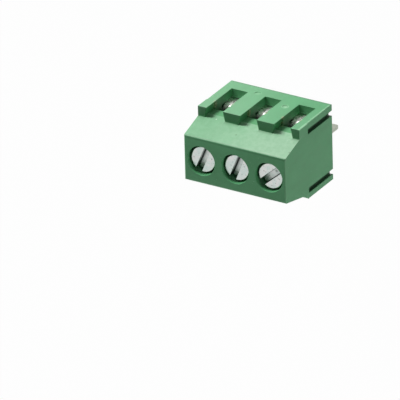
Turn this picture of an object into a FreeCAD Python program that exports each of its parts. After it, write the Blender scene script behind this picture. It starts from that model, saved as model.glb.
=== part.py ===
import FreeCAD, Part
import os

import Sketcher
from FreeCAD import Placement, Rotation, Vector

# Three-way rising-clamp terminal for a printed board, millimetres.
# X runs along the row of poles, -Y is the wire side, +Y the slotted side, +Z points out of the
# screws. The origin lies on the board plane, under the axis of the middle screw.

SHEET = "Sizes"

# alias, value, what it measures
DRIVING = [
    ("pitch", 5.08, "distance from pole to pole"),
    ("poles", 3, "number of poles in the row"),
    ("body_height", 12.3, "screw face above the board"),
    ("seam_height", 6.4, "parting line of the mould above the board"),
    ("wire_face", 5.1, "wire side, from the screw axis"),
    ("slotted_face", 5.8, "slotted side, from the screw axis"),
    ("top_depth", 6.44, "screw face from front to back"),
    ("ramp_run", 0.9, "how far the ramp over the wire mouths goes in"),
    ("ramp_rise", 1.4, "height of that ramp"),
    ("back_lean", 1.85, "how far the back slope comes out down to the seam"),
    ("block_height", 2.18, "guide blocks above the seam"),
    ("slot_width", 2.46, "slot between two guide blocks at the slotted face"),
    ("slot_flare", 0.35, "how much wider each slot gets on each side at its floor"),
    ("block_root", 1.6, "depth of the guide blocks, from the slotted face"),
    ("ledge_depth", 1.17, "ledge between the guide blocks, from the slotted face"),
    ("window_sill", 2.1, "lower end of the slots above the board"),
    ("side_relief", 0.1, "how far the lower end faces stand back"),
    ("edge_round", 0.2, "rounding of the edges of the screw face"),
    ("foot_round", 0.12, "rounding of the slotted side's edge at the board"),
    ("rail_reach", 0.55, "how far the tongues stand out"),
    ("rail_width", 0.72, "width of a tongue at its tip"),
    ("rail_flare", 0.05, "how much narrower each side of a tongue is at its root"),
    ("rail_height", 6.15, "length of the tongues and grooves"),
    ("rail_gap", 0.05, "play between tongue and groove"),
    ("front_rail", 1.13, "front tongue, from the wire side"),
    ("back_rail", 1.3, "back tongue, from the slotted side"),
    ("bore_diameter", 4.15, "screw bore"),
    ("head_recess", 0.55, "screw head below the screw face"),
    ("head_diameter", 3.7, "screw head"),
    ("head_height", 2.2, "screw head"),
    ("head_edge", 0.12, "bevel round the screw head"),
    ("drive_width", 1.0, "slot in the screw head"),
    ("drive_depth", 0.9, "slot in the screw head"),
    ("shank_diameter", 2.45, "threaded shank, outside"),
    ("shank_gap", 0.15, "play round the shank in the shelf"),
    ("tip_bevel", 0.3, "bevel at the screw tip"),
    ("tip_gap", 0.04, "screw tip above the contact bar"),
    ("seat_gap", 0.02, "screw head above its shelf"),
    ("shelf_thickness", 0.5, "shelf that carries the screw head"),
    ("mouth_width", 3.86, "wire mouth"),
    ("mouth_sill", 1.75, "wire mouth, lower edge above the board"),
    ("mouth_head", 5.9, "wire mouth, upper edge above the board"),
    ("lip_depth", 0.45, "straight part of the wire mouth"),
    ("funnel_width", 3.1, "wire funnel at its inner end"),
    ("funnel_head", 5.35, "wire funnel, upper edge at its inner end"),
    ("beam_depth", 1.75, "beam under the wire mouths, front to back"),
    ("opening_width", 4.2, "opening in the board face"),
    ("opening_back", 2.9, "opening in the board face, back edge from the screw axis"),
    ("opening_depth", 1.8, "height of the wide part of that opening"),
    ("cage_width", 3.9, "clamp cage along the row"),
    ("cage_length", 5.0, "clamp cage front to back"),
    ("cage_inside", 3.1, "clamp cage, clear height inside"),
    ("cage_sheet", 0.65, "sheet of the clamp cage"),
    ("cage_bend", 1.5, "outer bend radius at the bottom of the cage"),
    ("cage_shoulder", 0.45, "outer bend radius at the top of the cage"),
    ("cage_rest", 2.6, "underside of the cage above the board as drawn"),
    ("cage_lap", 0.5, "how far the upper layer on top of the cage ends short of its side"),
    ("cage_gap", 0.13, "play on each side of the cage in its shaft"),
    ("thread_gap", 0.06, "play round the shank in the cage"),
    ("strip_thickness", 0.5, "sheet of the solder contact"),
    ("pin_width", 1.2, "solder pin along the row"),
    ("pin_length", 5.0, "solder pin below the board plane"),
    ("pin_round", 0.5, "rounding of the pin tip across its width"),
    ("pin_bevel", 0.14, "bevel of the pin tip across its thickness"),
    ("pin_taper", 0.4, "length of that bevel along the pin"),
    ("bar_width", 2.4, "contact bar inside the cage"),
    ("bar_top", 4.6, "contact bar above the board"),
    ("bar_reach", 2.2, "contact bar, from the screw axis to its end"),
    ("bar_edge", 0.45, "rounding of the lower edges of the bar"),
    ("plate_width", 3.3, "wide part of the contact in its slot"),
    ("plate_foot", 1.5, "lower end of the wide part above the board"),
    ("plate_head", 3.3, "upper end of the wide part above the board"),
    ("bend_radius", 1.0, "outer radius of the bends in the contact"),
    ("tab_lift", 0.15, "tab above the board plane"),
    ("contact_gap", 0.05, "play of the contact in its slot"),
    ("rear_wall", 1.25, "wall behind the contact"),
    ("neck_width", 2.7, "neck between the shaft and the contact slot"),
    ("slot_head_gap", 0.15, "contact slot above the contact bar"),
    ("foot_recess_width", 1.9, "recess behind the foot of the contact"),
    ("foot_recess_depth", 0.15, "recess behind the foot of the contact, into the wall"),
    ("foot_recess_height", 1.0, "recess behind the foot of the contact"),
    ("mark_diameter", 1.3, "ejector marks in the board face"),
    ("mark_depth", 0.1, "ejector marks in the board face"),
    ("mark_inset", 1.0, "ejector marks, from the wire side"),
    ("gate_diameter", 0.9, "gate marks in the slotted side"),
    ("gate_depth", 0.05, "gate marks in the slotted side"),
    ("gate_high", 3.5, "gate mark to the right of the middle, above the board"),
    ("gate_low", 1.8, "gate mark to the left of the middle, above the board"),
    ("drive_angle_1", 67, "slot of the first screw, from the row's direction"),
    ("drive_angle_2", 68, "slot of the second screw"),
    ("drive_angle_3", 41, "slot of the third screw"),
]


class Size:
    """A length with its value and the expression that gives it in the document."""

    def __init__(self, value, text):
        self.value = value
        self.text = text

    def join(self, other, sign, result):
        text = other.text if isinstance(other, Size) else repr(other)
        return Size(result, f"({self.text} {sign} {text})")

    def __add__(self, other):
        return self.join(other, "+", self.value + number(other))

    def __sub__(self, other):
        return self.join(other, "-", self.value - number(other))

    def __mul__(self, other):
        return self.join(other, "*", self.value * number(other))

    def __truediv__(self, other):
        return self.join(other, "/", self.value / number(other))

    def __neg__(self):
        return Size(-self.value, f"(-1 * {self.text})")


def number(size):
    """The plain number of a Size or of a number."""
    return size.value if isinstance(size, Size) else float(size)


def fill_sheet(doc):
    """Writes the driving dimensions into the sheet and returns them by name."""
    sheet = doc.addObject("Spreadsheet::Sheet", SHEET)
    for row, (alias, value, meaning) in enumerate(DRIVING, start=1):
        sheet.set(f"A{row}", meaning)
        sheet.set(f"B{row}", str(value))
        sheet.setAlias(f"B{row}", alias)
    doc.recompute()
    return {alias: Size(float(sheet.get(alias)), f"{SHEET}.{alias}") for alias, _, _ in DRIVING}


def origin_plane(body, role):
    return next(plane for plane in body.Origin.OriginFeatures if plane.Role == role)


def new_sketch(body, name, role, offset=None):
    """A sketch on one of the body's own planes, moved along the plane's normal by offset."""
    sketch = body.newObject("Sketcher::SketchObject", name)
    sketch.AttachmentSupport = [(origin_plane(body, role), "")]
    sketch.MapMode = "FlatFace"
    if offset is not None:
        sketch.setExpression("AttachmentOffset.Base.z", offset.text)
    return sketch


def place_point(sketch, geometry, position, across, along):
    """Ties a point of the sketch to its place, measured from the sketch's origin."""
    for kind, size in (("DistanceX", across), ("DistanceY", along)):
        index = sketch.addConstraint(
            Sketcher.Constraint(kind, -1, 1, geometry, position, number(size)))
        if isinstance(size, Size):
            sketch.setExpression(f"Constraints[{index}]", size.text)


def draw_polygon(sketch, corners):
    """A closed outline through the corners, each tied to its two sizes."""
    spots = [Vector(number(across), number(along), 0) for across, along in corners]
    first = sketch.GeometryCount
    count = len(corners)
    for index in range(count):
        sketch.addGeometry(Part.LineSegment(spots[index], spots[(index + 1) % count]))
    for index in range(count):
        following = first + (index + 1) % count
        sketch.addConstraint(Sketcher.Constraint("Coincident", first + index, 2, following, 1))
    for index, (across, along) in enumerate(corners):
        place_point(sketch, first + index, 1, across, along)


def draw_box(sketch, left, right, low, high):
    draw_polygon(sketch, [(left, low), (right, low), (right, high), (left, high)])


def draw_circle(sketch, across, along, diameter):
    centre = Vector(number(across), number(along), 0)
    index = sketch.addGeometry(Part.Circle(centre, Vector(0, 0, 1), number(diameter) / 2))
    place_point(sketch, index, 3, across, along)
    constraint = sketch.addConstraint(Sketcher.Constraint("Diameter", index, number(diameter)))
    sketch.setExpression(f"Constraints[{constraint}]", diameter.text)


def pad(body, sketch, name, length, midplane=False):
    feature = body.newObject("PartDesign::Pad", name)
    feature.Profile = sketch
    feature.setExpression("Length", length.text)
    feature.Midplane = midplane
    return feature


def pocket(body, sketch, name, length, upwards=False):
    """Cuts against the sketch's normal, or along it when upwards is set."""
    feature = body.newObject("PartDesign::Pocket", name)
    feature.Profile = sketch
    feature.setExpression("Length", length.text)
    feature.Reversed = upwards
    return feature


def pocket_through(body, sketch, name):
    feature = body.newObject("PartDesign::Pocket", name)
    feature.Profile = sketch
    feature.Type = "ThroughAll"
    feature.Midplane = True
    return feature


def straight_edges(shape, direction, test):
    """Names of the straight edges whose middle passes the test, in one direction or in all."""
    names = []
    for index, edge in enumerate(shape.Edges, start=1):
        if edge.Curve.TypeId != "Part::GeomLine":
            continue
        tangent = edge.tangentAt(edge.FirstParameter)
        if direction is not None and abs(tangent.dot(direction)) < 0.9999:
            continue
        if test(edge.CenterOfMass):
            names.append(f"Edge{index}")
    return names


def near(first, second):
    return abs(first - number(second)) < 0.01


def round_edges(doc, body, name, direction, test, radius, kind="PartDesign::Fillet"):
    """Rounds or bevels the edges that pass the test, in one direction or in all."""
    doc.recompute()
    base = body.Tip
    feature = body.newObject(kind, name)
    feature.Base = (base, straight_edges(base.Shape, direction, test))
    feature.setExpression("Radius" if kind == "PartDesign::Fillet" else "Size", radius.text)
    return feature


def pole_places(size):
    """Distance of each pole from the middle of the row."""
    poles = int(round(size["poles"].value))
    return [size["pitch"] * (index - (poles - 1) / 2) for index in range(poles)]


def housing_core(doc, body, size):
    """The lower block up to the seam, and the leaning upper block over it."""
    row = size["pitch"] * size["poles"]
    lower = new_sketch(body, "lower_outline", "YZ_Plane")
    draw_box(lower, -size["wire_face"], size["slotted_face"], Size(0, "0"), size["seam_height"])
    pad(body, lower, "lower_block", row - size["side_relief"] * 2, midplane=True)
    round_edges(doc, body, "foot_rounding", Vector(1, 0, 0),
                lambda spot: near(spot.y, size["slotted_face"]) and near(spot.z, 0),
                size["foot_round"])

    half_top = size["top_depth"] / 2
    upper = new_sketch(body, "upper_outline", "YZ_Plane")
    draw_polygon(upper, [
        (-size["wire_face"], size["seam_height"]),
        (half_top + size["back_lean"], size["seam_height"]),
        (half_top, size["body_height"]),
        (-half_top, size["body_height"]),
        (size["ramp_run"] - size["wire_face"], size["seam_height"] + size["ramp_rise"]),
    ])
    pad(body, upper, "upper_block", row, midplane=True)

    round_edges(doc, body, "top_rounding", None,
                lambda spot: near(spot.z, size["body_height"]), size["edge_round"])


def ledges(body, size):
    """Flat ledges over the seam, where the back slope ends between the guide blocks."""
    face = size["slotted_face"]
    half_root = size["slot_width"] / 2 + size["slot_flare"]
    sketch = new_sketch(body, "ledge_outlines", "XY_Plane", size["seam_height"])
    for place in pole_places(size):
        draw_box(sketch, place - half_root, place + half_root, face - size["ledge_depth"], face)
    pocket(body, sketch, "ledges", size["block_height"], upwards=True)


def guide_blocks(body, size):
    """Blocks on the seam, narrower at their root, with the slots between them."""
    face = size["slotted_face"]
    root = face - size["block_root"]
    half_slot = size["slot_width"] / 2
    half_root = half_slot + size["slot_flare"]
    half_row = size["pitch"] * size["poles"] / 2
    places = pole_places(size)
    sketch = new_sketch(body, "guide_outlines", "XY_Plane", size["seam_height"])
    draw_polygon(sketch, [(-half_row, root), (places[0] - half_root, root),
                          (places[0] - half_slot, face), (-half_row, face)])
    for left, right in zip(places, places[1:]):
        draw_polygon(sketch, [(left + half_root, root), (right - half_root, root),
                              (right - half_slot, face), (left + half_slot, face)])
    draw_polygon(sketch, [(places[-1] + half_root, root), (half_row, root),
                          (half_row, face), (places[-1] + half_slot, face)])
    pad(body, sketch, "guide_blocks", size["block_height"])


def rail_places(size):
    """Distance of the two tongues from the screw axis."""
    return [size["front_rail"] - size["wire_face"], size["slotted_face"] - size["back_rail"]]


def rail_outline(sketch, place, base, reach, width, flare):
    """A dovetail that starts at base and is wider at its far side."""
    tip = base + reach
    half_tip = width / 2
    half_root = half_tip - flare
    draw_polygon(sketch, [(base, place - half_root), (tip, place - half_tip),
                          (tip, place + half_tip), (base, place + half_root)])


def tongues(body, size):
    """Two ribs on the left end that slide into the grooves of the next terminal."""
    left = size["side_relief"] - size["pitch"] * size["poles"] / 2
    sketch = new_sketch(body, "tongue_outlines", "XY_Plane")
    for place in rail_places(size):
        rail_outline(sketch, place, left, -size["rail_reach"] - size["side_relief"],
                     size["rail_width"], size["rail_flare"])
    pad(body, sketch, "tongues", size["rail_height"])


def grooves(body, size):
    """Two grooves in the right end, open at the board face."""
    right = size["pitch"] * size["poles"] / 2
    sketch = new_sketch(body, "groove_outlines", "XY_Plane")
    for place in rail_places(size):
        rail_outline(sketch, place, right, -size["rail_reach"] - size["rail_gap"],
                     size["rail_width"] + size["rail_gap"] * 2, size["rail_flare"])
    pocket(body, sketch, "grooves", size["rail_height"] + size["rail_gap"], upwards=True)


def shelf_top(size):
    """Height of the shelf that the screw heads stand on."""
    return size["body_height"] - size["head_recess"] - size["head_height"] - size["seat_gap"]


def screw_bores(body, size):
    """Bores for the heads, and the narrower holes for the shanks below them."""
    bore_depth = size["body_height"] - shelf_top(size)
    heads = new_sketch(body, "bore_circles", "XY_Plane", size["body_height"])
    shanks = new_sketch(body, "shank_circles", "XY_Plane", shelf_top(size))
    for place in pole_places(size):
        draw_circle(heads, place, Size(0, "0"), size["bore_diameter"])
        draw_circle(shanks, place, Size(0, "0"), size["shank_diameter"] + size["shank_gap"] * 2)
    pocket(body, heads, "screw_bores", bore_depth)
    pocket(body, shanks, "shank_holes", size["shelf_thickness"])


def shafts(body, size):
    """Shaft in which each cage rises, with the wide opening in the board face under it."""
    half_width = size["cage_width"] / 2 + size["cage_gap"]
    half_depth = size["cage_length"] / 2 + size["cage_gap"]
    half_opening = size["opening_width"] / 2
    beam = size["beam_depth"] - size["wire_face"]
    shaft = new_sketch(body, "shaft_outlines", "XY_Plane")
    opening = new_sketch(body, "opening_outlines", "XY_Plane")
    for place in pole_places(size):
        draw_box(shaft, place - half_width, place + half_width, -half_depth, half_depth)
        draw_box(opening, place - half_opening, place + half_opening, beam, size["opening_back"])
    pocket(body, shaft, "cage_shafts", shelf_top(size) - size["shelf_thickness"], upwards=True)
    pocket(body, opening, "board_openings", size["opening_depth"], upwards=True)


def contact_slots(body, size):
    """Neck, slot and foot recess that take the solder contact from the board face."""
    back = size["slotted_face"] - size["rear_wall"]
    front = back - size["strip_thickness"] - size["contact_gap"] * 2
    half_slot = size["plate_width"] / 2 + size["contact_gap"]
    half_neck = size["neck_width"] / 2
    half_foot = size["foot_recess_width"] / 2
    height = size["bar_top"] + size["slot_head_gap"]
    necks = new_sketch(body, "neck_outlines", "XY_Plane")
    slots = new_sketch(body, "contact_slot_outlines", "XY_Plane")
    feet = new_sketch(body, "foot_outlines", "XY_Plane")
    for place in pole_places(size):
        draw_box(necks, place - half_neck, place + half_neck, Size(0, "0"), back)
        draw_box(slots, place - half_slot, place + half_slot, front, back)
        draw_box(feet, place - half_foot, place + half_foot, front,
                 back + size["foot_recess_depth"])
    pocket(body, necks, "contact_necks", height, upwards=True)
    pocket(body, slots, "contact_slots", height, upwards=True)
    pocket(body, feet, "foot_recesses", size["foot_recess_height"], upwards=True)


def back_windows(body, size):
    """Slots in the slotted face that run through to the contacts and the shafts."""
    half_slot = size["slot_width"] / 2
    depth = size["slotted_face"] - size["cage_length"] / 2
    sketch = new_sketch(body, "window_outlines", "XZ_Plane", -size["slotted_face"])
    for place in pole_places(size):
        draw_box(sketch, place - half_slot, place + half_slot,
                 size["window_sill"], size["seam_height"])
    pocket(body, sketch, "back_windows", depth, upwards=True)


def wire_mouths(body, size):
    """Straight lip of each wire mouth and the funnel behind it."""
    half_mouth = size["mouth_width"] / 2
    half_inner = size["funnel_width"] / 2
    face = size["wire_face"]
    inner = size["cage_length"] / 2
    lips = new_sketch(body, "mouth_outlines", "XZ_Plane", face)
    for place in pole_places(size):
        draw_box(lips, place - half_mouth, place + half_mouth,
                 size["mouth_sill"], size["mouth_head"])
    pocket(body, lips, "mouth_lips", size["lip_depth"])
    for index, place in enumerate(pole_places(size), start=1):
        wide = new_sketch(body, f"funnel_wide_{index}", "XZ_Plane", face - size["lip_depth"])
        draw_box(wide, place - half_mouth, place + half_mouth,
                 size["mouth_sill"], size["mouth_head"])
        narrow = new_sketch(body, f"funnel_narrow_{index}", "XZ_Plane", inner)
        draw_box(narrow, place - half_inner, place + half_inner,
                 size["mouth_sill"], size["funnel_head"])
        funnel = body.newObject("PartDesign::SubtractiveLoft", f"funnel_{index}")
        funnel.Profile = wide
        funnel.Sections = [narrow]
        funnel.Ruled = True


def ejector_marks(body, size):
    """Shallow round marks left by the ejector pins in the board face."""
    sketch = new_sketch(body, "mark_circles", "XY_Plane")
    for place in pole_places(size):
        draw_circle(sketch, place, size["mark_inset"] - size["wire_face"], size["mark_diameter"])
    pocket(body, sketch, "ejector_marks", size["mark_depth"], upwards=True)


def gate_marks(body, size):
    """Shallow round marks where the plastic flowed in, between the slots of the slotted side."""
    aside = size["pitch"] / 2
    sketch = new_sketch(body, "gate_circles", "XZ_Plane", -size["slotted_face"])
    draw_circle(sketch, aside, size["gate_high"], size["gate_diameter"])
    draw_circle(sketch, -aside, size["gate_low"], size["gate_diameter"])
    pocket(body, sketch, "gate_marks", size["gate_depth"], upwards=True)


def make_housing(doc, size):
    """The one-piece moulded housing."""
    body = doc.addObject("PartDesign::Body", "housing")
    housing_core(doc, body, size)
    ledges(body, size)
    guide_blocks(body, size)
    tongues(body, size)
    grooves(body, size)
    screw_bores(body, size)
    shafts(body, size)
    contact_slots(body, size)
    back_windows(body, size)
    wire_mouths(body, size)
    ejector_marks(body, size)
    gate_marks(body, size)
    return body


def make_screw(doc, size, number_in_row, place):
    """Slotted screw: head on the shelf, shank down to the contact bar."""
    body = doc.addObject("PartDesign::Body", f"clamp_screw_{number_in_row}")
    top = size["body_height"] - size["head_recess"]
    under_head = top - size["head_height"]
    tip = size["bar_top"] + size["tip_gap"]
    head = size["head_diameter"] / 2
    shank = size["shank_diameter"] / 2
    profile = new_sketch(body, f"screw_profile_{number_in_row}", "XZ_Plane")
    draw_polygon(profile, [
        (Size(0, "0"), tip),
        (shank - size["tip_bevel"], tip),
        (shank, tip + size["tip_bevel"]),
        (shank, under_head),
        (head, under_head),
        (head, top - size["head_edge"]),
        (head - size["head_edge"], top),
        (Size(0, "0"), top),
    ])
    turned = body.newObject("PartDesign::Revolution", f"screw_turned_{number_in_row}")
    turned.Profile = profile
    turned.ReferenceAxis = (profile, ["V_Axis"])
    turned.Angle = 360
    half_slot = size["drive_width"] / 2
    slot = new_sketch(body, f"drive_outline_{number_in_row}", "XY_Plane", top)
    draw_box(slot, -size["head_diameter"], size["head_diameter"], -half_slot, half_slot)
    pocket(body, slot, f"drive_slot_{number_in_row}", size["drive_depth"])
    angle = size[f"drive_angle_{(number_in_row - 1) % 3 + 1}"]
    body.Placement = Placement(Vector(place.value, 0, 0), Rotation(Vector(0, 0, 1), angle.value))
    body.setExpression("Placement.Base.x", place.text)
    body.setExpression("Placement.Rotation.Angle", angle.text)
    return body


def make_cage(doc, size, number_in_row, place):
    """Clamp cage: one strip bent round into a box, lapped tight and tapped on top."""
    body = doc.addObject("PartDesign::Body", f"clamp_cage_{number_in_row}")
    half = size["cage_width"] / 2
    sheet = size["cage_sheet"]
    low = size["cage_rest"]
    floor = low + sheet
    ceiling = floor + size["cage_inside"]
    high = ceiling + sheet * 2
    outline = new_sketch(body, f"cage_outline_{number_in_row}", "XZ_Plane")
    draw_box(outline, -half, half, low, high)
    draw_box(outline, sheet - half, half - sheet, floor, ceiling)
    pad(body, outline, f"cage_box_{number_in_row}", size["cage_length"], midplane=True)

    lap = new_sketch(body, f"lap_outline_{number_in_row}", "XZ_Plane")
    draw_box(lap, half - size["cage_lap"], half * 2, high - sheet, high * 2)
    pocket_through(body, lap, f"cage_lap_{number_in_row}")

    def at_shoulder(spot):
        upper = near(spot.z, high) and spot.x < 0
        return upper or (near(spot.x, half) and near(spot.z, high - sheet))

    along = Vector(0, 1, 0)
    round_edges(doc, body, f"cage_outer_bends_{number_in_row}", along,
                lambda spot: near(spot.z, low), size["cage_bend"])
    round_edges(doc, body, f"cage_inner_bends_{number_in_row}", along,
                lambda spot: near(spot.z, floor), size["cage_bend"] - sheet)
    round_edges(doc, body, f"cage_shoulders_{number_in_row}", along, at_shoulder,
                size["cage_shoulder"])

    thread = new_sketch(body, f"thread_circle_{number_in_row}", "XY_Plane", ceiling)
    draw_circle(thread, Size(0, "0"), Size(0, "0"),
                size["shank_diameter"] + size["thread_gap"] * 2)
    pocket(body, thread, f"thread_hole_{number_in_row}", sheet * 3, upwards=True)
    body.setExpression("Placement.Base.x", place.text)
    return body


def strip_outline(size):
    """Side view of the bent contact strip, with sharp corners."""
    thick = size["strip_thickness"]
    half = thick / 2
    tab_low = size["tab_lift"]
    tab_high = tab_low + thick
    plate_back = size["slotted_face"] - size["rear_wall"] - size["contact_gap"]
    plate_front = plate_back - thick
    bar_high = size["bar_top"]
    bar_low = bar_high - thick
    return [
        (-half, -size["pin_length"]), (half, -size["pin_length"]),
        (half, tab_low), (plate_back, tab_low),
        (plate_back, bar_high), (-size["bar_reach"], bar_high),
        (-size["bar_reach"], bar_low), (plate_front, bar_low),
        (plate_front, tab_high), (-half, tab_high),
    ]


def make_contact(doc, size, number_in_row, place):
    """Solder contact: pin, tab under the housing, plate in its slot and bar through the cage."""
    body = doc.addObject("PartDesign::Body", f"solder_contact_{number_in_row}")
    corners = strip_outline(size)
    side = new_sketch(body, f"strip_outline_{number_in_row}", "YZ_Plane")
    draw_polygon(side, corners)
    pad(body, side, f"strip_{number_in_row}", size["plate_width"], midplane=True)

    wide = size["plate_width"]
    half_pin = size["pin_width"] / 2
    half_bar = size["bar_width"] / 2
    below = -size["pin_length"] * 2
    above = size["bar_top"] * 2
    blank = new_sketch(body, f"blank_outline_{number_in_row}", "XZ_Plane")
    draw_box(blank, half_pin, wide, below, size["plate_foot"])
    draw_box(blank, -wide, -half_pin, below, size["plate_foot"])
    draw_box(blank, half_bar, wide, size["plate_head"], above)
    draw_box(blank, -wide, -half_bar, size["plate_head"], above)
    pocket_through(body, blank, f"blank_{number_in_row}")

    across = Vector(1, 0, 0)
    outer = [corners[3], corners[4], corners[9]]
    inner = [corners[2], corners[7], corners[8]]

    def at_corner(spots):
        return lambda spot: any(near(spot.y, y) and near(spot.z, z) for y, z in spots)

    round_edges(doc, body, f"outer_bends_{number_in_row}", across, at_corner(outer),
                size["bend_radius"])
    round_edges(doc, body, f"inner_bends_{number_in_row}", across, at_corner(inner),
                size["bend_radius"] - size["strip_thickness"])
    bar_low = size["bar_top"] - size["strip_thickness"]
    round_edges(doc, body, f"bar_edges_{number_in_row}", Vector(0, 1, 0),
                lambda spot: near(spot.z, bar_low), size["bar_edge"])
    round_edges(doc, body, f"pin_tip_{number_in_row}", Vector(0, 1, 0),
                lambda spot: near(spot.z, -size["pin_length"]), size["pin_round"])

    half = size["strip_thickness"] / 2
    tip = -size["pin_length"]
    taper = new_sketch(body, f"taper_outline_{number_in_row}", "YZ_Plane")
    for side in (1, -1):
        draw_polygon(taper, [(half * side, tip + size["pin_taper"]),
                             ((half - size["pin_bevel"]) * side, tip), (half * side, tip)])
    pocket_through(body, taper, f"pin_taper_{number_in_row}")
    body.setExpression("Placement.Base.x", place.text)
    return body


def check_document(doc, pieces):
    """Stops if any object failed or any piece is not one valid solid."""
    for item in doc.Objects:
        if "Invalid" in item.State or "Error" in item.State:
            raise RuntimeError(f"{item.Name} failed: {item.State}")
    for piece in pieces:
        shape = piece.Shape
        if shape.isNull() or not shape.isValid() or len(shape.Solids) != 1:
            raise RuntimeError(f"{piece.Label} is not one valid solid")


def main():
    doc = FreeCAD.newDocument("screw_terminal")
    size = fill_sheet(doc)
    pieces = [make_housing(doc, size)]
    for number_in_row, place in enumerate(pole_places(size), start=1):
        pieces.append(make_screw(doc, size, number_in_row, place))
        pieces.append(make_cage(doc, size, number_in_row, place))
        pieces.append(make_contact(doc, size, number_in_row, place))
    doc.recompute()
    check_document(doc, pieces)
    os.makedirs("parts", exist_ok=True)
    for piece in pieces:
        piece.Shape.exportStep(f"parts/{piece.Label}.step")
        print(piece.Label, round(piece.Shape.Volume, 3))


main()
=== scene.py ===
from itertools import combinations
from math import radians, tau

import bmesh
import bpy
import numpy as np
from mathutils import Matrix, Vector


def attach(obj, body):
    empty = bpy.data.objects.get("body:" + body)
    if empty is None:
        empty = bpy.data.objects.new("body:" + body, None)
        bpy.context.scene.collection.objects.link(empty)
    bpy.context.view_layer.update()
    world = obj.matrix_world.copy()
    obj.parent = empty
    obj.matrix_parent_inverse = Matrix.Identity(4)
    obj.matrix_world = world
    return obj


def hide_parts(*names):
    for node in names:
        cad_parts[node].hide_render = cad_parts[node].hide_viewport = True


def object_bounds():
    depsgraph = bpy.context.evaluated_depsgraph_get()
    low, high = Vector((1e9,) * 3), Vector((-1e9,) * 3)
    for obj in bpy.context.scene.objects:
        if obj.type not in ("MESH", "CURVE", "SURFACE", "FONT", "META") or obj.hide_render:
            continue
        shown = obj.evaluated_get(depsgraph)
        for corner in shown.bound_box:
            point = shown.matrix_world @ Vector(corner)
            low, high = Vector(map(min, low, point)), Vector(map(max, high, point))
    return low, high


# The terminal's own frame, in metres: X along the row of poles, -Y the wire side, +Y the slotted
# side, +Z out of the screws, and the board plane at z = 0.

MM = 0.001
PITCH = 5.08 * MM
POLES = {1: -PITCH, 2: 0.0, 3: PITCH}

# housing: its faces and heights
RIGHT_END = 1.5 * PITCH
WIRE_FACE = 5.1 * MM
SLOTTED_FACE = 5.8 * MM
SEAM_HEIGHT = 6.4 * MM
BODY_TOP = 12.3 * MM
BROKEN_EDGE = 0.06 * MM
ON_FACE = 0.03 * MM

# housing: the leaning back face, by its outward normal and its distance from the origin
SLOPE_FORWARD, SLOPE_UP = 0.9542, 0.2992
SLOPE_DISTANCE = 6.753 * MM

# housing: the guide blocks, the ledges and slots between them, and the grooves of the right end
BLOCK_TOP = 8.58 * MM
BLOCK_START = 4.5 * MM
BLOCK_SIDE = 1.46 * MM
LEDGE_TOP = 7.8 * MM
LEDGE_FACE = 4.63 * MM
SLOT_HALF = 1.23 * MM
SLOT_REACH = 1.6 * MM
GROOVES = [-3.97 * MM, 4.5 * MM]
GROOVE_HALF = 0.5 * MM
GROOVE_START = 6.9 * MM

# housing: gate marks and flecks as places across and up with their strength or level, the ejector
# marks of the board side, and the burrs on the slots' edges
GATE_SPOTS = [(2.54 * MM, 3.5 * MM, 0.9), (-2.54 * MM, 1.8 * MM, 0.35)]
GATE_RADIUS = 0.45 * MM
GATE_RIM = 0.09 * MM
FLECKS = [(-4.91 * MM, 8.48 * MM, 190), (-0.92 * MM, 10.23 * MM, 70), (7.50 * MM, 10.98 * MM, 60)]
FLECK_RADIUS = 0.12 * MM
EJECTOR_RADIUS = 0.65 * MM
EJECTOR_RIM = 0.07 * MM
EJECTOR_INSET = 1.0 * MM
BURR_HEIGHT = 0.6 * MM
BURR_WIDTH = 0.3 * MM
BURR_START = 4.6 * MM

# screws, with the driver slots' angles in degrees from the row of poles
HEAD_TOP = 11.75 * MM
HEAD_HEIGHT = 2.2 * MM
HEAD_RADIUS = 1.85 * MM
HEAD_BEVEL = 0.12 * MM
DRIVER_HALF = 0.5 * MM
DRIVER_DEPTH = 0.9 * MM
DRIVER_ANGLES = {1: 67, 2: 68, 3: 41}
THREAD_RADIUS = 1.225 * MM
THREAD_PITCH = 0.45 * MM
THREAD_DEPTH = 0.2 * MM
THREAD_RUNOUT = 0.5 * MM
FLANK_RISE = 2.6
CREST_SHARE = 0.15
SCREW_TIP = 4.64 * MM
TIP_BEVEL = 0.3 * MM

# screws: smudges on the heads, as places across and along with their radius
SMUDGES = [(0.56 * MM, 1.0 * MM, 0.42 * MM), (5.45 * MM, 0.43 * MM, 0.28 * MM)]

# points of a head across one quarter, across its slot, up its side and along its ends, and of the
# shank round its axis and up one turn of the thread
QUARTER_POINTS = 13
DRIVER_POINTS = 7
SIDE_POINTS = 9
END_POINTS = 7
SHANK_POINTS = 48
THREAD_POINTS = 8

# meshes: points closer than the first are one, and degenerate edges are shorter than the second;
# faces within the first angle are one face, and edges above the second stay hard; edges within the
# sine are parallel, and a shared stretch shorter than the share of an edge doesn't count
MERGE_DISTANCE = 1e-7
SHORTEST_EDGE = 1e-8
FLAT_ANGLE = 0.4
SMOOTH_ANGLE = 35
PARALLEL_SINE = 0.1
END_SHARE = 0.01
# the point attribute that marks where shade is painted in the driver slots' bottom corners
SLOT_SHADE = "slot_shade"

# camera, from the photograph: the way to it, the picture's upward side and the size of a pixel
TO_CAMERA = Vector((0.463, 0.451, 0.763)).normalized()
PICTURE_UP = Vector((-0.212, 0.892, -0.398))
PIXELS_PER_METRE = 7677.0
PICTURE_SIZE = 400
ORIGIN_PIXEL = (282.6, 131.9)
LENS = 1200.0
SENSOR = 36.0

# lamps: name, way to it, distance, width and height in metres, and watts
LAMPS = [
    ("key", (-0.60, 0.77, 0.14), 0.50, 0.19, 0.11, 3.3),
    ("side", (0.90, -0.30, 0.20), 0.30, 0.10, 0.08, 0.26),
    ("back", (-0.45, -0.85, 0.12), 0.30, 0.12, 0.06, 0.42),
]
SKY_STRENGTH = 0.08

# floor
FLOOR_REACH = 0.6
FLOOR_GAP = 0.02 * MM
FLOOR_GLOW = 0.98
WHITE = (1.0, 1.0, 1.0, 1.0)


# shader maths

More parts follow.
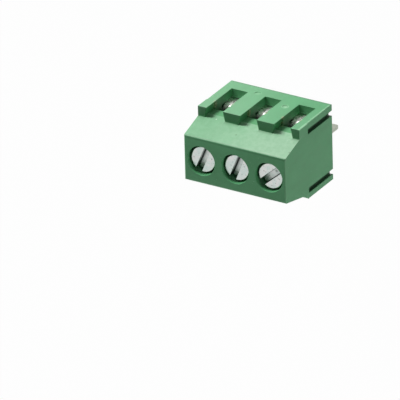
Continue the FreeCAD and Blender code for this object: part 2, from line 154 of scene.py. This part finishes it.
class Signal:
    """A socket whose operators add Math nodes to its material."""

    def __init__(self, finish, socket):
        self.finish = finish
        self.socket = socket

    def math(self, operation, *values):
        return self.finish.node("Math", {"operation": operation}, dict(enumerate(values)))

    def __add__(self, other):
        return self.math("ADD", self, other)

    __radd__ = __add__

    def __sub__(self, other):
        return self.math("SUBTRACT", self, other)

    def __rsub__(self, other):
        return self.math("SUBTRACT", other, self)

    def __mul__(self, other):
        return self.math("MULTIPLY", self, other)

    __rmul__ = __mul__

    def __truediv__(self, other):
        return self.math("DIVIDE", self, other)

    def __gt__(self, other):
        return self.math("GREATER_THAN", self, other)

    def __lt__(self, other):
        return self.math("LESS_THAN", self, other)

    def root(self):
        return self.math("SQRT", self)

    def size(self):
        """The value without its sign."""
        return self.math("ABSOLUTE", self)

    def wrap(self, low, high):
        """Repeats the value between two limits."""
        return self.math("WRAP", self, high, low)

    def ramp(self, low, high, start=0.0, end=1.0):
        """start below low, end above high and a smooth rise between them."""
        settings = {"interpolation_type": "SMOOTHSTEP"}
        sockets = {"Value": self, "From Min": low, "From Max": high,
                   "To Min": start, "To Max": end}
        return self.finish.node("MapRange", settings, sockets)


class Shading:
    """The node tree of a material or of the sky, filled by one method."""

    def __init__(self, owner):
        owner.use_nodes = True
        self.tree = owner.node_tree
        self.tree.nodes.clear()

    def node(self, kind, settings=None, sockets=None, output=0):
        """Adds a node, sets it up, fills or links its sockets and gives one of its outputs."""
        made = self.tree.nodes.new("ShaderNode" + kind)
        for name, value in (settings or {}).items():
            setattr(made, name, value)
        for name, value in (sockets or {}).items():
            if isinstance(value, Signal):
                self.tree.links.new(value.socket, made.inputs[name])
            else:
                made.inputs[name].default_value = value
        return Signal(self, made.outputs[output]) if made.outputs else None

    def seen_directly(self):
        """1 where the camera, a mirror or clear plastic looks at it, 0 where it lights things."""
        camera, mirror, clear = [self.node("LightPath", output=f"Is {ray} Ray")
                                 for ray in ("Camera", "Glossy", "Transmission")]
        return camera + mirror + clear


class Finish(Shading):
    """A material, with words for the common nodes and the colour that it has so far."""

    def __init__(self, name):
        self.material = bpy.data.materials.new(name)
        super().__init__(self.material)
        self.place = self.node("TexCoord", output="Object")
        self.tone = WHITE

    def axes(self):
        """The three Object coordinates, in metres."""
        apart = self.node("SeparateXYZ", sockets={0: self.place})
        node = apart.socket.node
        return [Signal(self, node.outputs[index]) for index in range(3)]

    def noise(self, grain, detail=3.0, roughness=0.5, stretch=(1.0, 1.0, 1.0), centre=(0, 0, 0)):
        """Noise with grains of a size in metres, stretched along the axes."""
        scale = [1.0 / (grain * along) for along in stretch]
        grid = self.node("Mapping", {"vector_type": "POINT"},
                         {"Vector": self.place, "Location": centre, "Scale": scale})
        return self.node("TexNoise", {"noise_dimensions": "3D"},
                         {"Vector": grid, "Scale": 1.0, "Detail": detail, "Roughness": roughness})

    def blend(self, factor, first, second):
        """Colour that goes from first to second with the factor."""
        return self.node("Mix", {"data_type": "RGBA"}, {0: factor, 6: first, 7: second}, output=2)

    def paint(self, share, shade):
        """Lays a share of another colour over the tone."""
        self.tone = self.blend(share, self.tone, shade)

    def bump(self, height, depth, strength=1.0, normal=None):
        """Surface normal for a height of 0 to 1 that stands for a depth in metres."""
        sockets = {"Height": height, "Distance": depth, "Strength": strength}
        if normal is not None:
            sockets["Normal"] = normal
        return self.node("Bump", sockets=sockets)

    def surface(self, **sockets):
        """Principled surface in the tone, with the given sockets, joined to the output."""
        named = {name.replace("_", " "): value for name, value in sockets.items()}
        shader = self.node("BsdfPrincipled", sockets={"Base Color": self.tone, **named})
        self.node("OutputMaterial", sockets={"Surface": shader})
        return self.material


def colour(red, green, blue):
    """Linear colour of an 8-bit display colour."""
    shown = np.array([red, green, blue]) / 255.0
    linear = np.where(shown <= 0.04045, shown / 12.92, ((shown + 0.055) / 1.055) ** 2.4)
    return (*linear.tolist(), 1.0)


def from_pole(across):
    """How far a place lies along the row from the middle of its own pole."""
    return across.wrap(-PITCH / 2, PITCH / 2)


def distance(first, second):
    """Distance from the origin of two coordinates."""
    return (first * first + second * second).root()


def band(value, middle, half_width):
    """1 round the middle, falling from 0.3 of half_width to 0 at half_width on either side."""
    return 1 - ((value - middle).size() / half_width).ramp(0.3, 1.0)


def spot(reach, radius, core, strength):
    """A round patch: the strength inside core times its radius, falling to 0 at the radius."""
    return reach.ramp(core * radius, radius, strength, 0.0)


# finish of the housing

PLASTIC = colour(77, 148, 98)
CLOUDY_PLASTIC = colour(83, 156, 105)
MOTTLED_PLASTIC = colour(89, 159, 111)
DUST = colour(170, 205, 178)
SPECK = colour(44, 84, 56)
# the gate marks' pale hearts, and painted highlights on the gate and ejector marks' rims
GATE_MARK = colour(176, 216, 180)
EJECTOR_RIM_HIGHLIGHT = colour(150, 196, 158)
BURR = colour(140, 148, 104)
BURR_FRINGE = colour(196, 216, 188)
# painted shadow on the ledges, painted highlights on two edges (one also worn) and painted shade
# on the crest
LEDGE_SHADOW = colour(88, 128, 84)
EDGE_HIGHLIGHT = colour(120, 176, 132)
WORN_EDGE_HIGHLIGHT = colour(150, 200, 160)
DULL_FOOT = colour(70, 112, 84)
CREST_SHADE = colour(44, 92, 56)
# painted sheen on the slotted and the leaning face, painted shade beside the blocks' ends
SLOTTED_FACE_SHEEN = colour(150, 190, 156)
SLOPE_SHEEN = colour(170, 200, 172)
BLOCK_ROOT_SHADE = colour(66, 124, 80)
# painted shade on the blocks' ends and in the grooves and the slots
BLOCK_END_SHADE = colour(30, 78, 44)
GROOVE_SHADE = colour(20, 44, 26)
DEEP_SLOT_SHADE = colour(22, 42, 24)


class Moulding(Finish):
    """The housing's plastic, with the places and noises that its marks share.

    back is 1 on the slotted face, slope on the leaning back face and bright there too, where it
    rises towards the right end and carries the painted sheen and the clear coat. lean is the
    distance from the leaning face's plane.
    """

    def __init__(self):
        super().__init__("moulded_green")
        self.across, self.along, self.up = self.axes()
        self.local = from_pole(self.across)
        self.clouds = self.noise(2.6 * MM, detail=2.0, stretch=(1.0, 1.0, 2.2))
        self.mottle = self.noise(0.7 * MM, roughness=0.6)
        self.grit = self.noise(0.17 * MM, detail=1.0, centre=(4.0, 2.0, 7.0))
        self.back = self.along > SLOTTED_FACE - 0.07 * MM
        self.lean = (self.along * SLOPE_FORWARD + self.up * SLOPE_UP - SLOPE_DISTANCE).size()
        self.slope = ((self.lean < 0.025 * MM) * (self.up > LEDGE_TOP)
                      * (self.up < BODY_TOP - 0.1 * MM))
        self.bright = self.slope * self.across.ramp(-1.6 * PITCH, 1.2 * PITCH, 0.45, 1.0)

    def plain_colour(self):
        """Clouded and mottled green with pale dust and dark specks."""
        dust = self.noise(0.20 * MM, detail=1.0)
        self.tone = self.blend(self.clouds.ramp(0.3, 0.7), PLASTIC, CLOUDY_PLASTIC)
        self.paint(self.mottle.ramp(0.35, 0.75) * 0.5, MOTTLED_PLASTIC)
        self.paint(dust.ramp(0.74, 0.80) * 0.5, DUST)
        self.paint(self.grit.ramp(0.77, 0.82) * 0.6, SPECK)

    def gate_and_ejector_marks(self):
        """Pale-hearted gate marks and ejector marks, with painted highlights on their rims."""
        for gate_across, gate_up, strength in GATE_SPOTS:
            reach = distance(self.across - gate_across, self.up - gate_up)
            # painted highlight on the gate mark's rim
            rim = band(reach, GATE_RADIUS, GATE_RIM) * 0.5
            heart = spot(reach, GATE_RADIUS, 0.2, 0.8) * self.mottle.ramp(0.3, 0.6)
            self.paint((rim + heart) * self.back * strength, GATE_MARK)
        reach = distance(self.local, self.along + (WIRE_FACE - EJECTOR_INSET))
        board_side = self.up < 0.2 * MM
        # painted highlight on the ejector marks' rims
        self.paint(band(reach, EJECTOR_RADIUS, EJECTOR_RIM) * board_side * 0.5, EJECTOR_RIM_HIGHLIGHT)

    def parting_burrs(self):
        """Brown burrs with a pale fringe on the slots' edges, just below the seam."""
        below_seam = band(self.up, SEAM_HEIGHT - 0.15 * MM, BURR_HEIGHT)
        slot_edge = band(self.local.size(), SLOT_HALF, BURR_WIDTH) * (self.along > BURR_START)
        burrs = below_seam * slot_edge * self.mottle.ramp(0.40, 0.56)
        self.paint(burrs * 0.75, BURR)
        self.paint(burrs * self.grit.ramp(0.55, 0.7), BURR_FRINGE)

    def edges_light_shade_and_wear(self):
        """Painted ledge shadow and edge highlights, one edge also worn; darker foot; painted crest
        shade.
        """
        over_seam = (self.up > SEAM_HEIGHT) * (self.up < LEDGE_TOP)
        ledge = over_seam * (self.local.size() < SLOT_REACH)
        # painted shadow that the guide blocks cast on the ledges
        self.paint(ledge * ((self.along - LEDGE_FACE).size() < ON_FACE) * 0.2, LEDGE_SHADOW)
        top_edge = (self.up > BODY_TOP - 0.2 * MM) * (self.across > RIGHT_END - 0.2 * MM)
        # painted highlight on the rounded edge between the screw face and the right end
        self.paint(top_edge * 0.25, EDGE_HIGHLIGHT)
        end_edge = (self.along > SLOTTED_FACE - ON_FACE) * (self.across > RIGHT_END - 0.32 * MM)
        # wear on the slotted face's right edge, with a painted highlight
        self.paint(self.back * end_edge * self.mottle.ramp(0.3, 0.6, 0.2, 0.6), WORN_EDGE_HIGHLIGHT)
        foot = self.back * (self.up < 0.3 * MM)
        self.paint(foot * self.mottle.ramp(0.3, 0.6, 0.3, 0.7), DULL_FOOT)
        crest = (self.up > BODY_TOP - 0.22 * MM) * (self.lean < 0.3 * MM)
        # painted shade along the crest, where the leaning face meets the screw face
        self.paint(crest * 0.35, CREST_SHADE)

    def sheen_and_block_shade(self):
        """Painted sheen on the slotted and the leaning face, painted shade next to the guide
        blocks' ends.
        """
        # painted sheen on the slotted face, paler towards the left end
        self.paint(self.back * self.across.ramp(-1.0 * PITCH, 0.9 * PITCH, 0.22, 0.0), SLOTTED_FACE_SHEEN)
        # painted sheen on the leaning face, paler towards the right end
        self.paint(self.bright * self.mottle.ramp(0.3, 0.7, 0.34, 0.50), SLOPE_SHEEN)
        # painted shade on the leaning face just beyond the guide blocks' ends
        over_block = self.slope * (self.local.size() > BLOCK_SIDE)
        root_shade = over_block * self.up.ramp(BLOCK_TOP, BLOCK_TOP + 0.5 * MM, 0.7, 0.0)
        self.paint(root_shade * self.mottle.ramp(0.2, 0.5, 0.5, 0.9), BLOCK_ROOT_SHADE)

    def slope_flecks(self):
        """Single flecks on the leaning face, each of its own level."""
        for fleck_across, fleck_up, level in FLECKS:
            reach = distance(self.across - fleck_across, self.up - fleck_up)
            fleck = spot(reach, FLECK_RADIUS, 0.5, 0.7) * self.slope
            self.paint(fleck, colour(level, level + 30, level))

    def shaded_places(self):
        """Painted shade on the guide blocks' ends, the grooves' floors and the slots' inner walls.
        """
        block_end = ((self.up - BLOCK_TOP).size() < ON_FACE) * (self.along > BLOCK_START)
        # painted shade on the guide blocks' ends
        self.paint(block_end * 0.6, BLOCK_END_SHADE)
        # painted shade in the grooves, darker inwards
        inwards = self.across.ramp(RIGHT_END - 0.4 * MM, RIGHT_END - 0.05 * MM, 0.8, 0.0)
        for place in GROOVES:
            groove = ((self.along - place).size() < GROOVE_HALF) * (self.up < SEAM_HEIGHT)
            self.paint(groove * (self.across > GROOVE_START) * inwards, GROOVE_SHADE)
        # painted shade deep inside the slots
        slot = (self.local.size() < SLOT_REACH) * (self.along > 1.0 * MM) * (self.up < SEAM_HEIGHT)
        depth = self.along.ramp(3.8 * MM, 5.6 * MM, 0.8, 0.0)
        self.paint(slot * self.up.ramp(3.6 * MM, 4.8 * MM) * depth, DEEP_SLOT_SHADE)


def moulded_green():
    """Satin green plastic with eroded mould grain and slow flow clouds.

    The leaning and the slotted face come from polished steel and carry a clear skin. The marks,
    edges and shaded places follow the photograph.
    """
    finish = Moulding()
    finish.plain_colour()
    finish.gate_and_ejector_marks()
    finish.parting_burrs()
    finish.edges_light_shade_and_wear()
    finish.sheen_and_block_shade()
    finish.slope_flecks()
    finish.shaded_places()
    grain = finish.noise(0.05 * MM, detail=4.0, roughness=0.65)
    skin = (finish.bright * finish.mottle.ramp(0.25, 0.7, 1.0, 0.8)
            + finish.back * finish.up.ramp(0.0, 8.0 * MM, 0.15, 0.55))
    dull = finish.mottle.ramp(0.3, 0.7, 0.46, 0.54)
    normal = finish.bump(grain, 0.004 * MM, 0.7, finish.bump(finish.clouds, 0.006 * MM))
    return finish.surface(Roughness=dull, Normal=normal, Coat_Weight=skin,
                          Coat_Roughness=0.42, Specular_IOR_Level=0.42)


# finishes of the metal pieces

HEAD_ZINC = colour(204, 206, 203)
HEAD_BLOOM = colour(190, 203, 198)
HEAD_STAIN = colour(132, 130, 122)
HEAD_SMUDGE = colour(112, 112, 106)
# painted highlight on the heads' rims, painted shade low in the driver slots and in their corners
HEAD_RIM_HIGHLIGHT = colour(228, 236, 229)
DRIVER_SLOT_SHADE = colour(150, 160, 156)
DRIVER_CORNER_SHADE = colour(40, 52, 48)
STRIP_ZINC = colour(234, 226, 217)
STRIP_STAIN = colour(208, 201, 192)
BRIGHT_TIN = colour(240, 241, 236)
CLOUDED_TIN = colour(222, 222, 213)
AGED_TIN = colour(204, 198, 188)
AGED_CLOUD = colour(184, 178, 168)
TIN_PIT = colour(120, 112, 100)
# painted dark reflections on the bend and painted shade on the pins
TIN_DARK_REFLECTION = colour(66, 74, 60)
PIN_SHADE = colour(150, 164, 148)


def turned_zinc():
    """Bright zinc on a turned head.

    Faint rings round the axis, fine scratches, soft grey and greenish bloom, a few stains, smudges
    on two heads and a painted highlight on the rim. Below half the slot's depth the zinc is
    rougher and greyed with painted shade, darkest in the slot's bottom corners. The last bump
    rounds the head's edge.
    """
    finish = Finish("turned_zinc")
    across, along, up = finish.axes()
    reach = distance(from_pole(across), along)
    rings = finish.node("TexNoise", {"noise_dimensions": "1D"},
                        {"W": reach / (0.06 * MM), "Scale": 1.0, "Detail": 3.0})
    bloom = finish.noise(0.55 * MM, detail=4.0)
    scratch = finish.noise(0.05 * MM, detail=2.0, stretch=(9.0, 1.0, 1.0))
    stain = finish.noise(0.30 * MM, detail=2.0, centre=(1.0, 6.0, 3.0))
    corner = finish.node("Attribute", {"attribute_name": SLOT_SHADE}, output="Fac")
    slotted = up < HEAD_TOP - DRIVER_DEPTH / 2
    finish.tone = finish.blend(bloom.ramp(0.35, 0.65), HEAD_ZINC, HEAD_BLOOM)
    finish.paint(stain.ramp(0.60, 0.72) * 0.7, HEAD_STAIN)
    for smudge_across, smudge_along, radius in SMUDGES:
        smudge = spot(distance(across - smudge_across, along - smudge_along), radius, 0.4, 0.75)
        finish.paint(smudge * bloom.ramp(0.25, 0.6, 0.6, 1.0), HEAD_SMUDGE)
    # painted highlight on the head's rim
    finish.paint(reach.ramp(0.92 * HEAD_RADIUS, 0.97 * HEAD_RADIUS), HEAD_RIM_HIGHLIGHT)
    # painted shade below half the slot's depth
    finish.paint(slotted * 0.25, DRIVER_SLOT_SHADE)
    # painted shade in the slot's bottom corners
    finish.paint(corner.ramp(0.05, 0.7) * 0.92, DRIVER_CORNER_SHADE)
    dull = bloom.ramp(0.35, 0.7, 0.18, 0.26) + scratch.ramp(0.6, 0.75) * 0.08 + slotted * 0.10
    rounding = 0.09 * MM
    edge = reach.ramp(HEAD_RADIUS - rounding, HEAD_RADIUS, 1.0, 0.0)
    normal = finish.bump(rings, 0.002 * MM, 0.6, finish.bump(scratch, 0.0012 * MM, 0.6))
    normal = finish.bump(edge, rounding, normal=normal)
    return finish.surface(Metallic=1.0, Roughness=dull, Normal=normal)


def rolled_zinc():
    """Zinc on bent steel strip: rolling lines along Y, small pits and soft stains."""
    finish = Finish("rolled_zinc")
    lines = finish.noise(0.04 * MM, stretch=(1.0, 14.0, 1.0))
    stain = finish.noise(1.1 * MM, detail=4.0)
    pits = finish.noise(0.12 * MM, detail=2.0)
    finish.tone = finish.blend(stain.ramp(0.4, 0.75), STRIP_ZINC, STRIP_STAIN)
    dull = stain.ramp(0.35, 0.75, 0.40, 0.52)
    pitted = finish.bump(pits.ramp(0.3, 0.45), 0.003 * MM, 0.5)
    normal = finish.bump(lines, 0.002 * MM, 0.7, pitted)
    return finish.surface(Metallic=1.0, Roughness=dull, Normal=normal)


def tinned_brass():
    """Tin on punched strip: cloudy coat, draw marks along the pin, dents, dark pits and painted
    dark reflections.

    The tin is bright inside the slots and aged near the board, and below the board it is darkened
    with painted shade along the draw marks. The first bump stands for the strip's bend above its
    foot.
    """
    finish = Finish("tinned_brass")
    _, _, up = finish.axes()
    cloud = finish.noise(0.5 * MM, detail=4.0, roughness=0.6)
    draws = finish.noise(0.05 * MM, stretch=(1.0, 5.0, 12.0))
    dents = finish.noise(0.6 * MM, detail=2.0, centre=(0.0, 5.0, 0.0))
    pits = finish.noise(0.11 * MM, detail=1.0, centre=(3.0, 3.0, 0.0))
    clouded = cloud.ramp(0.35, 0.7)
    bright = finish.blend(clouded, BRIGHT_TIN, CLOUDED_TIN)
    aged = finish.blend(clouded, AGED_TIN, AGED_CLOUD)
    finish.tone = finish.blend(up.ramp(0.9 * MM, 1.7 * MM), aged, bright)
    finish.paint(pits.ramp(0.72, 0.78) * 0.7, TIN_PIT)
    # dark curved streaks up the bend, painted reflections of the slots' edges
    finish.paint(band(dents, 0.52, 0.035) * up.ramp(2.4 * MM, 3.2 * MM, 0.0, 0.85), TIN_DARK_REFLECTION)
    below_board = up < 0.0
    # painted shade on the pins below the board
    finish.paint(below_board * draws.ramp(0.3, 0.65, 0.35, 0.8), PIN_SHADE)
    dull = cloud.ramp(0.3, 0.7, 0.26, 0.36) + below_board * 0.04
    bend = finish.bump(up.ramp(2.2 * MM, 4.0 * MM, 1.0, 0.0), 0.2 * MM)
    normal = finish.bump(draws, 0.002 * MM, 0.6, finish.bump(dents, 0.06 * MM, 0.9, bend))
    return finish.surface(Metallic=1.0, Roughness=dull, Normal=normal)


def pale_paper():
    """White floor that keeps part of the shadow: mostly a white glow where it is looked at."""
    finish = Finish("pale_paper")
    fibres = finish.noise(0.4 * MM)
    tone = finish.blend(fibres.ramp(0.3, 0.7), (0.80, 0.80, 0.80, 1.0), (0.83, 0.83, 0.83, 1.0))
    paper = finish.node("BsdfPrincipled", sockets={"Base Color": tone, "Roughness": 0.9})
    glow = finish.node("Emission", sockets={"Color": WHITE, "Strength": 1.0})
    share = finish.seen_directly() * FLOOR_GLOW
    mixed = finish.node("MixShader", sockets={0: share, 1: paper, 2: glow})
    finish.node("OutputMaterial", sockets={"Surface": mixed})
    return finish.material


# meshes

def grid_faces(rows, columns):
    """Quads of a grid of points whose rows are closed rings, joined from each row to the next."""
    row, column = np.meshgrid(np.arange(rows - 1), np.arange(columns), indexing="ij")
    right = (column + 1) % columns
    corners = [row * columns + column, row * columns + right,
               (row + 1) * columns + right, (row + 1) * columns + column]
    return np.stack(corners, axis=-1).reshape(-1, 4)


def soften(shape):
    """Smooth faces, with the edges sharper than SMOOTH_ANGLE kept hard."""
    for face in shape.faces:
        face.smooth = True
    for edge in shape.edges:
        closed = len(edge.link_faces) == 2
        edge.smooth = closed and edge.calc_face_angle() < radians(SMOOTH_ANGLE)


def place_piece(name, mesh, finish):
    """An object in the scene for a mesh, in one finish."""
    piece = bpy.data.objects.new(name, mesh)
    bpy.context.scene.collection.objects.link(piece)
    mesh.materials.clear()
    mesh.materials.append(finish)
    return piece


def new_piece(name, points, faces, finish, shades):
    """A piece from points, faces and named values per point: merged, closed and outward."""
    mesh = bpy.data.meshes.new(name)
    mesh.from_pydata(points.tolist(), [], faces.tolist())
    for title, values in shades.items():
        layer = mesh.attributes.new(title, "FLOAT", "POINT")
        layer.data.foreach_set("value", values)
    shape = bmesh.new()
    shape.from_mesh(mesh)
    bmesh.ops.remove_doubles(shape, verts=shape.verts, dist=MERGE_DISTANCE)
    bmesh.ops.dissolve_degenerate(shape, edges=shape.edges, dist=SHORTEST_EDGE)
    bmesh.ops.recalc_face_normals(shape, faces=shape.faces)
    soften(shape)
    shape.to_mesh(mesh)
    shape.free()
    return place_piece(name, mesh, finish)


def side_by_side(first, second, width):
    """Whether two edges run beside each other, nearly parallel and closer than the width."""
    start = first.verts[0].co
    length = first.calc_length()
    way = (first.verts[1].co - start) / length
    ends = [vert.co - start for vert in second.verts]
    if (ends[1] - ends[0]).normalized().cross(way).length > PARALLEL_SINE:
        return False
    gap = (ends[0] - way * ends[0].dot(way)).length
    near, far = sorted(end.dot(way) for end in ends)
    overlap = near < (1 - END_SHARE) * length and far > END_SHARE * length
    return gap < width and overlap


def weigh_edges(shape):
    """Bevel weight 1 on each sharp edge, but 0 along strips too narrow for two bevels."""
    weight = shape.edges.layers.float.new("bevel_weight_edge")
    for edge in shape.edges:
        edge[weight] = float(not edge.smooth)
    for face in shape.faces:
        for first, second in combinations(face.edges, 2):
            if side_by_side(first, second, 2 * BROKEN_EDGE):
                first[weight] = second[weight] = 0.0


def broken_copy(node, name, finish):
    """A closed copy of a CAD node with its flat faces joined and its edges broken by a bevel."""
    mesh = node.data.copy()
    mesh.name = name
    shape = bmesh.new()
    shape.from_mesh(mesh)
    bmesh.ops.remove_doubles(shape, verts=shape.verts, dist=MERGE_DISTANCE)
    bmesh.ops.dissolve_limit(shape, angle_limit=radians(FLAT_ANGLE), verts=shape.verts,
                             edges=shape.edges, use_dissolve_boundaries=False)
    soften(shape)
    weigh_edges(shape)
    shape.to_mesh(mesh)
    shape.free()
    piece = place_piece(name, mesh, finish)
    broken = piece.modifiers.new("broken_edges", "BEVEL")
    broken.width = BROKEN_EDGE
    broken.segments = 2
    broken.limit_method = "WEIGHT"
    broken.use_clamp_overlap = True
    broken.harden_normals = True
    return piece


def slotted_head(pole, angle):
    """Screw head as slices across its driver slot: points, faces and the slot's corners for
    painted shade.

    A slice at distance s from the slot's middle is an upright outline. At the height h it reaches
    sqrt(R(h)^2 - s^2) to both sides, where R is the head's radius, less the bevel's rise near the
    top. It ends at the head's top, or at the slot's floor where s is inside the slot.
    """
    low, floor = HEAD_TOP - HEAD_HEIGHT, HEAD_TOP - DRIVER_DEPTH
    bevel_start = HEAD_TOP - HEAD_BEVEL
    arc = np.sin(np.linspace(0, tau / 4, QUARTER_POINTS))
    outside = DRIVER_HALF + (HEAD_RADIUS - DRIVER_HALF) * arc
    inside = np.linspace(-DRIVER_HALF, DRIVER_HALF, DRIVER_POINTS)
    across = np.concatenate([-outside[::-1], inside, outside])
    slotted = np.repeat([False, True, False], [QUARTER_POINTS, DRIVER_POINTS, QUARTER_POINTS])
    rim = np.clip(HEAD_TOP - (np.abs(across) - HEAD_RADIUS + HEAD_BEVEL), low, HEAD_TOP)
    top = np.where(slotted, floor, rim)
    height = low + (top[:, None] - low) * np.linspace(0, 1, SIDE_POINTS)[None, :]
    foot = np.minimum(top, bevel_start)
    bevelled = np.stack([foot, (top + foot) / 2, top], axis=1)
    height[:, -3:] = np.where(slotted[:, None], height[:, -3:], bevelled)
    radius = HEAD_RADIUS - np.clip(height - bevel_start, 0, None)
    reach = np.sqrt(np.clip(radius ** 2 - across[:, None] ** 2, 0, None))
    inner = np.linspace(1, -1, END_POINTS)[None, 1:-1]
    along = np.concatenate(
        [reach, reach[:, -1:] * inner, -reach[:, ::-1], -reach[:, :1] * inner], axis=1)
    level = np.ones_like(inner)
    up = np.concatenate(
        [height, height[:, -1:] * level, height[:, ::-1], height[:, :1] * level], axis=1)
    wide = np.repeat(across[:, None], along.shape[1], axis=1)
    cosine, sine = np.cos(radians(angle)), np.sin(radians(angle))
    points = np.stack([pole + along * cosine - wide * sine, along * sine + wide * cosine, up],
                      axis=-1).reshape(-1, 3)
    corner = slotted[:, None] & np.isclose(np.abs(wide), DRIVER_HALF) & np.isclose(up, floor)
    return points, grid_faces(*along.shape), corner.reshape(-1).astype(float)


def threaded_shank(pole):
    """Shank as rings up the axis: points and faces.

    At the height z and the angle a the radius is the thread's outside, less its depth times a
    triangle wave of z / pitch - a / turn, which is a right-hand helix. The wave is cut flat at the
    crest and the root. The depth fades out under the head, and the tip narrows by its bevel to a
    closed middle.
    """
    top = HEAD_TOP - HEAD_HEIGHT
    rows = int((top - SCREW_TIP) / THREAD_PITCH * THREAD_POINTS)
    height = np.linspace(SCREW_TIP, top, rows)[:, None]
    turn = np.linspace(0, 1, SHANK_POINTS, endpoint=False)[None, :]
    phase = np.mod(height / THREAD_PITCH - turn, 1.0)
    flank = np.clip(np.abs(phase - 0.5) * FLANK_RISE - CREST_SHARE, 0, 1)
    fade = np.clip((top - height) / THREAD_RUNOUT, 0, 1)
    radius = THREAD_RADIUS - THREAD_DEPTH * flank * fade
    radius = np.minimum(radius, THREAD_RADIUS - TIP_BEVEL + (height - SCREW_TIP))
    closed = np.zeros_like(turn)
    radius = np.concatenate([closed, radius, closed])
    height = np.concatenate([height[:1], height, height[-1:]]) * np.ones_like(turn)
    x = pole + radius * np.cos(turn * tau)
    y = radius * np.sin(turn * tau)
    points = np.stack([x, y, height], axis=-1).reshape(-1, 3)
    return points, grid_faces(*height.shape)


def make_screw(number, pole, finish):
    """Head and shank of one clamp screw, two closed shells in one piece."""
    head_points, head_faces, corner = slotted_head(pole, DRIVER_ANGLES[number])
    shank_points, shank_faces = threaded_shank(pole)
    points = np.concatenate([head_points, shank_points])
    faces = np.concatenate([head_faces, shank_faces + len(head_points)])
    shade = np.concatenate([corner, np.zeros(len(shank_points))])
    piece = new_piece(f"threaded_screw_{number}", points, faces, finish, {SLOT_SHADE: shade})
    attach(piece, f"screw_{number}")
    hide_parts(f"clamp_screw_{number}")


# stage

def make_camera():
    """A long lens that looks along the photograph's line and holds its frame."""
    right = PICTURE_UP.cross(TO_CAMERA).normalized()
    up = TO_CAMERA.cross(right).normalized()
    middle = PICTURE_SIZE / 2
    aim = (right * (middle - ORIGIN_PIXEL[0]) - up * (middle - ORIGIN_PIXEL[1])) / PIXELS_PER_METRE
    away = PICTURE_SIZE / PIXELS_PER_METRE * LENS / SENSOR
    data = bpy.data.cameras.new("camera")
    data.lens = LENS
    data.sensor_width = SENSOR
    data.clip_start = away / 10
    data.clip_end = away * 10
    camera = bpy.data.objects.new("camera", data)
    turn = Matrix((right, up, TO_CAMERA)).transposed().to_4x4()
    camera.matrix_world = Matrix.Translation(aim + TO_CAMERA * away) @ turn
    bpy.context.scene.collection.objects.link(camera)
    bpy.context.scene.camera = camera


def make_lamp(name, direction, away, width, height, watts):
    """A soft box, level with the floor, that faces the terminal from a direction."""
    data = bpy.data.lights.new(name, "AREA")
    data.shape = "RECTANGLE"
    data.size = width
    data.size_y = height
    data.energy = watts
    lamp = bpy.data.objects.new(name, data)
    way = Vector(direction).normalized()
    turn = way.to_track_quat("Z", "Y").to_matrix().to_4x4()
    lamp.matrix_world = Matrix.Translation(way * away) @ turn
    bpy.context.scene.collection.objects.link(lamp)


def make_sky():
    """An even pale sky, white to the camera and to glossy and clear rays."""
    world = bpy.data.worlds.new("studio")
    bpy.context.scene.world = world
    sky = Shading(world)
    level = sky.node("MapRange", sockets={"Value": sky.seen_directly(), "To Min": SKY_STRENGTH,
                                          "To Max": 1.0})
    light = sky.node("Background", sockets={"Color": WHITE, "Strength": level})
    sky.node("OutputWorld", sockets={"Surface": light})


def make_floor(height, finish):
    """A flat square floor round the terminal."""
    corners = [(-1, -1), (1, -1), (1, 1), (-1, 1)]
    points = [(FLOOR_REACH * x, FLOOR_REACH * y, height) for x, y in corners]
    mesh = bpy.data.meshes.new("floor")
    mesh.from_pydata(points, [], [(0, 1, 2, 3)])
    place_piece("floor", mesh, finish)


# the terminal

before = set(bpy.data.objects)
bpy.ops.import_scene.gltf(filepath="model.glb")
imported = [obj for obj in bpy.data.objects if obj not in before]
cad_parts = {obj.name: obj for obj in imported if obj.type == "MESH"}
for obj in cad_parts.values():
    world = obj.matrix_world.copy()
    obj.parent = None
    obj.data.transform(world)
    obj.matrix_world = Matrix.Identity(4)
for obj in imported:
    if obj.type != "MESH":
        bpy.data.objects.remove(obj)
cad_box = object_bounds()
floor_height = cad_box[0].z - FLOOR_GAP

green = moulded_green()
zinc = turned_zinc()
strip = rolled_zinc()
tin = tinned_brass()

shell = broken_copy(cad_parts["housing"], "housing_shell", green)
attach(shell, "housing")
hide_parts("housing")

for number, pole in POLES.items():
    make_screw(number, pole, zinc)
    for node, finish in ((f"clamp_cage_{number}", strip), (f"solder_contact_{number}", tin)):
        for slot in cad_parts[node].material_slots:
            slot.material = finish

make_floor(floor_height, pale_paper())
make_camera()
for lamp in LAMPS:
    make_lamp(*lamp)
make_sky()
bpy.context.scene.view_settings.view_transform = "Standard"
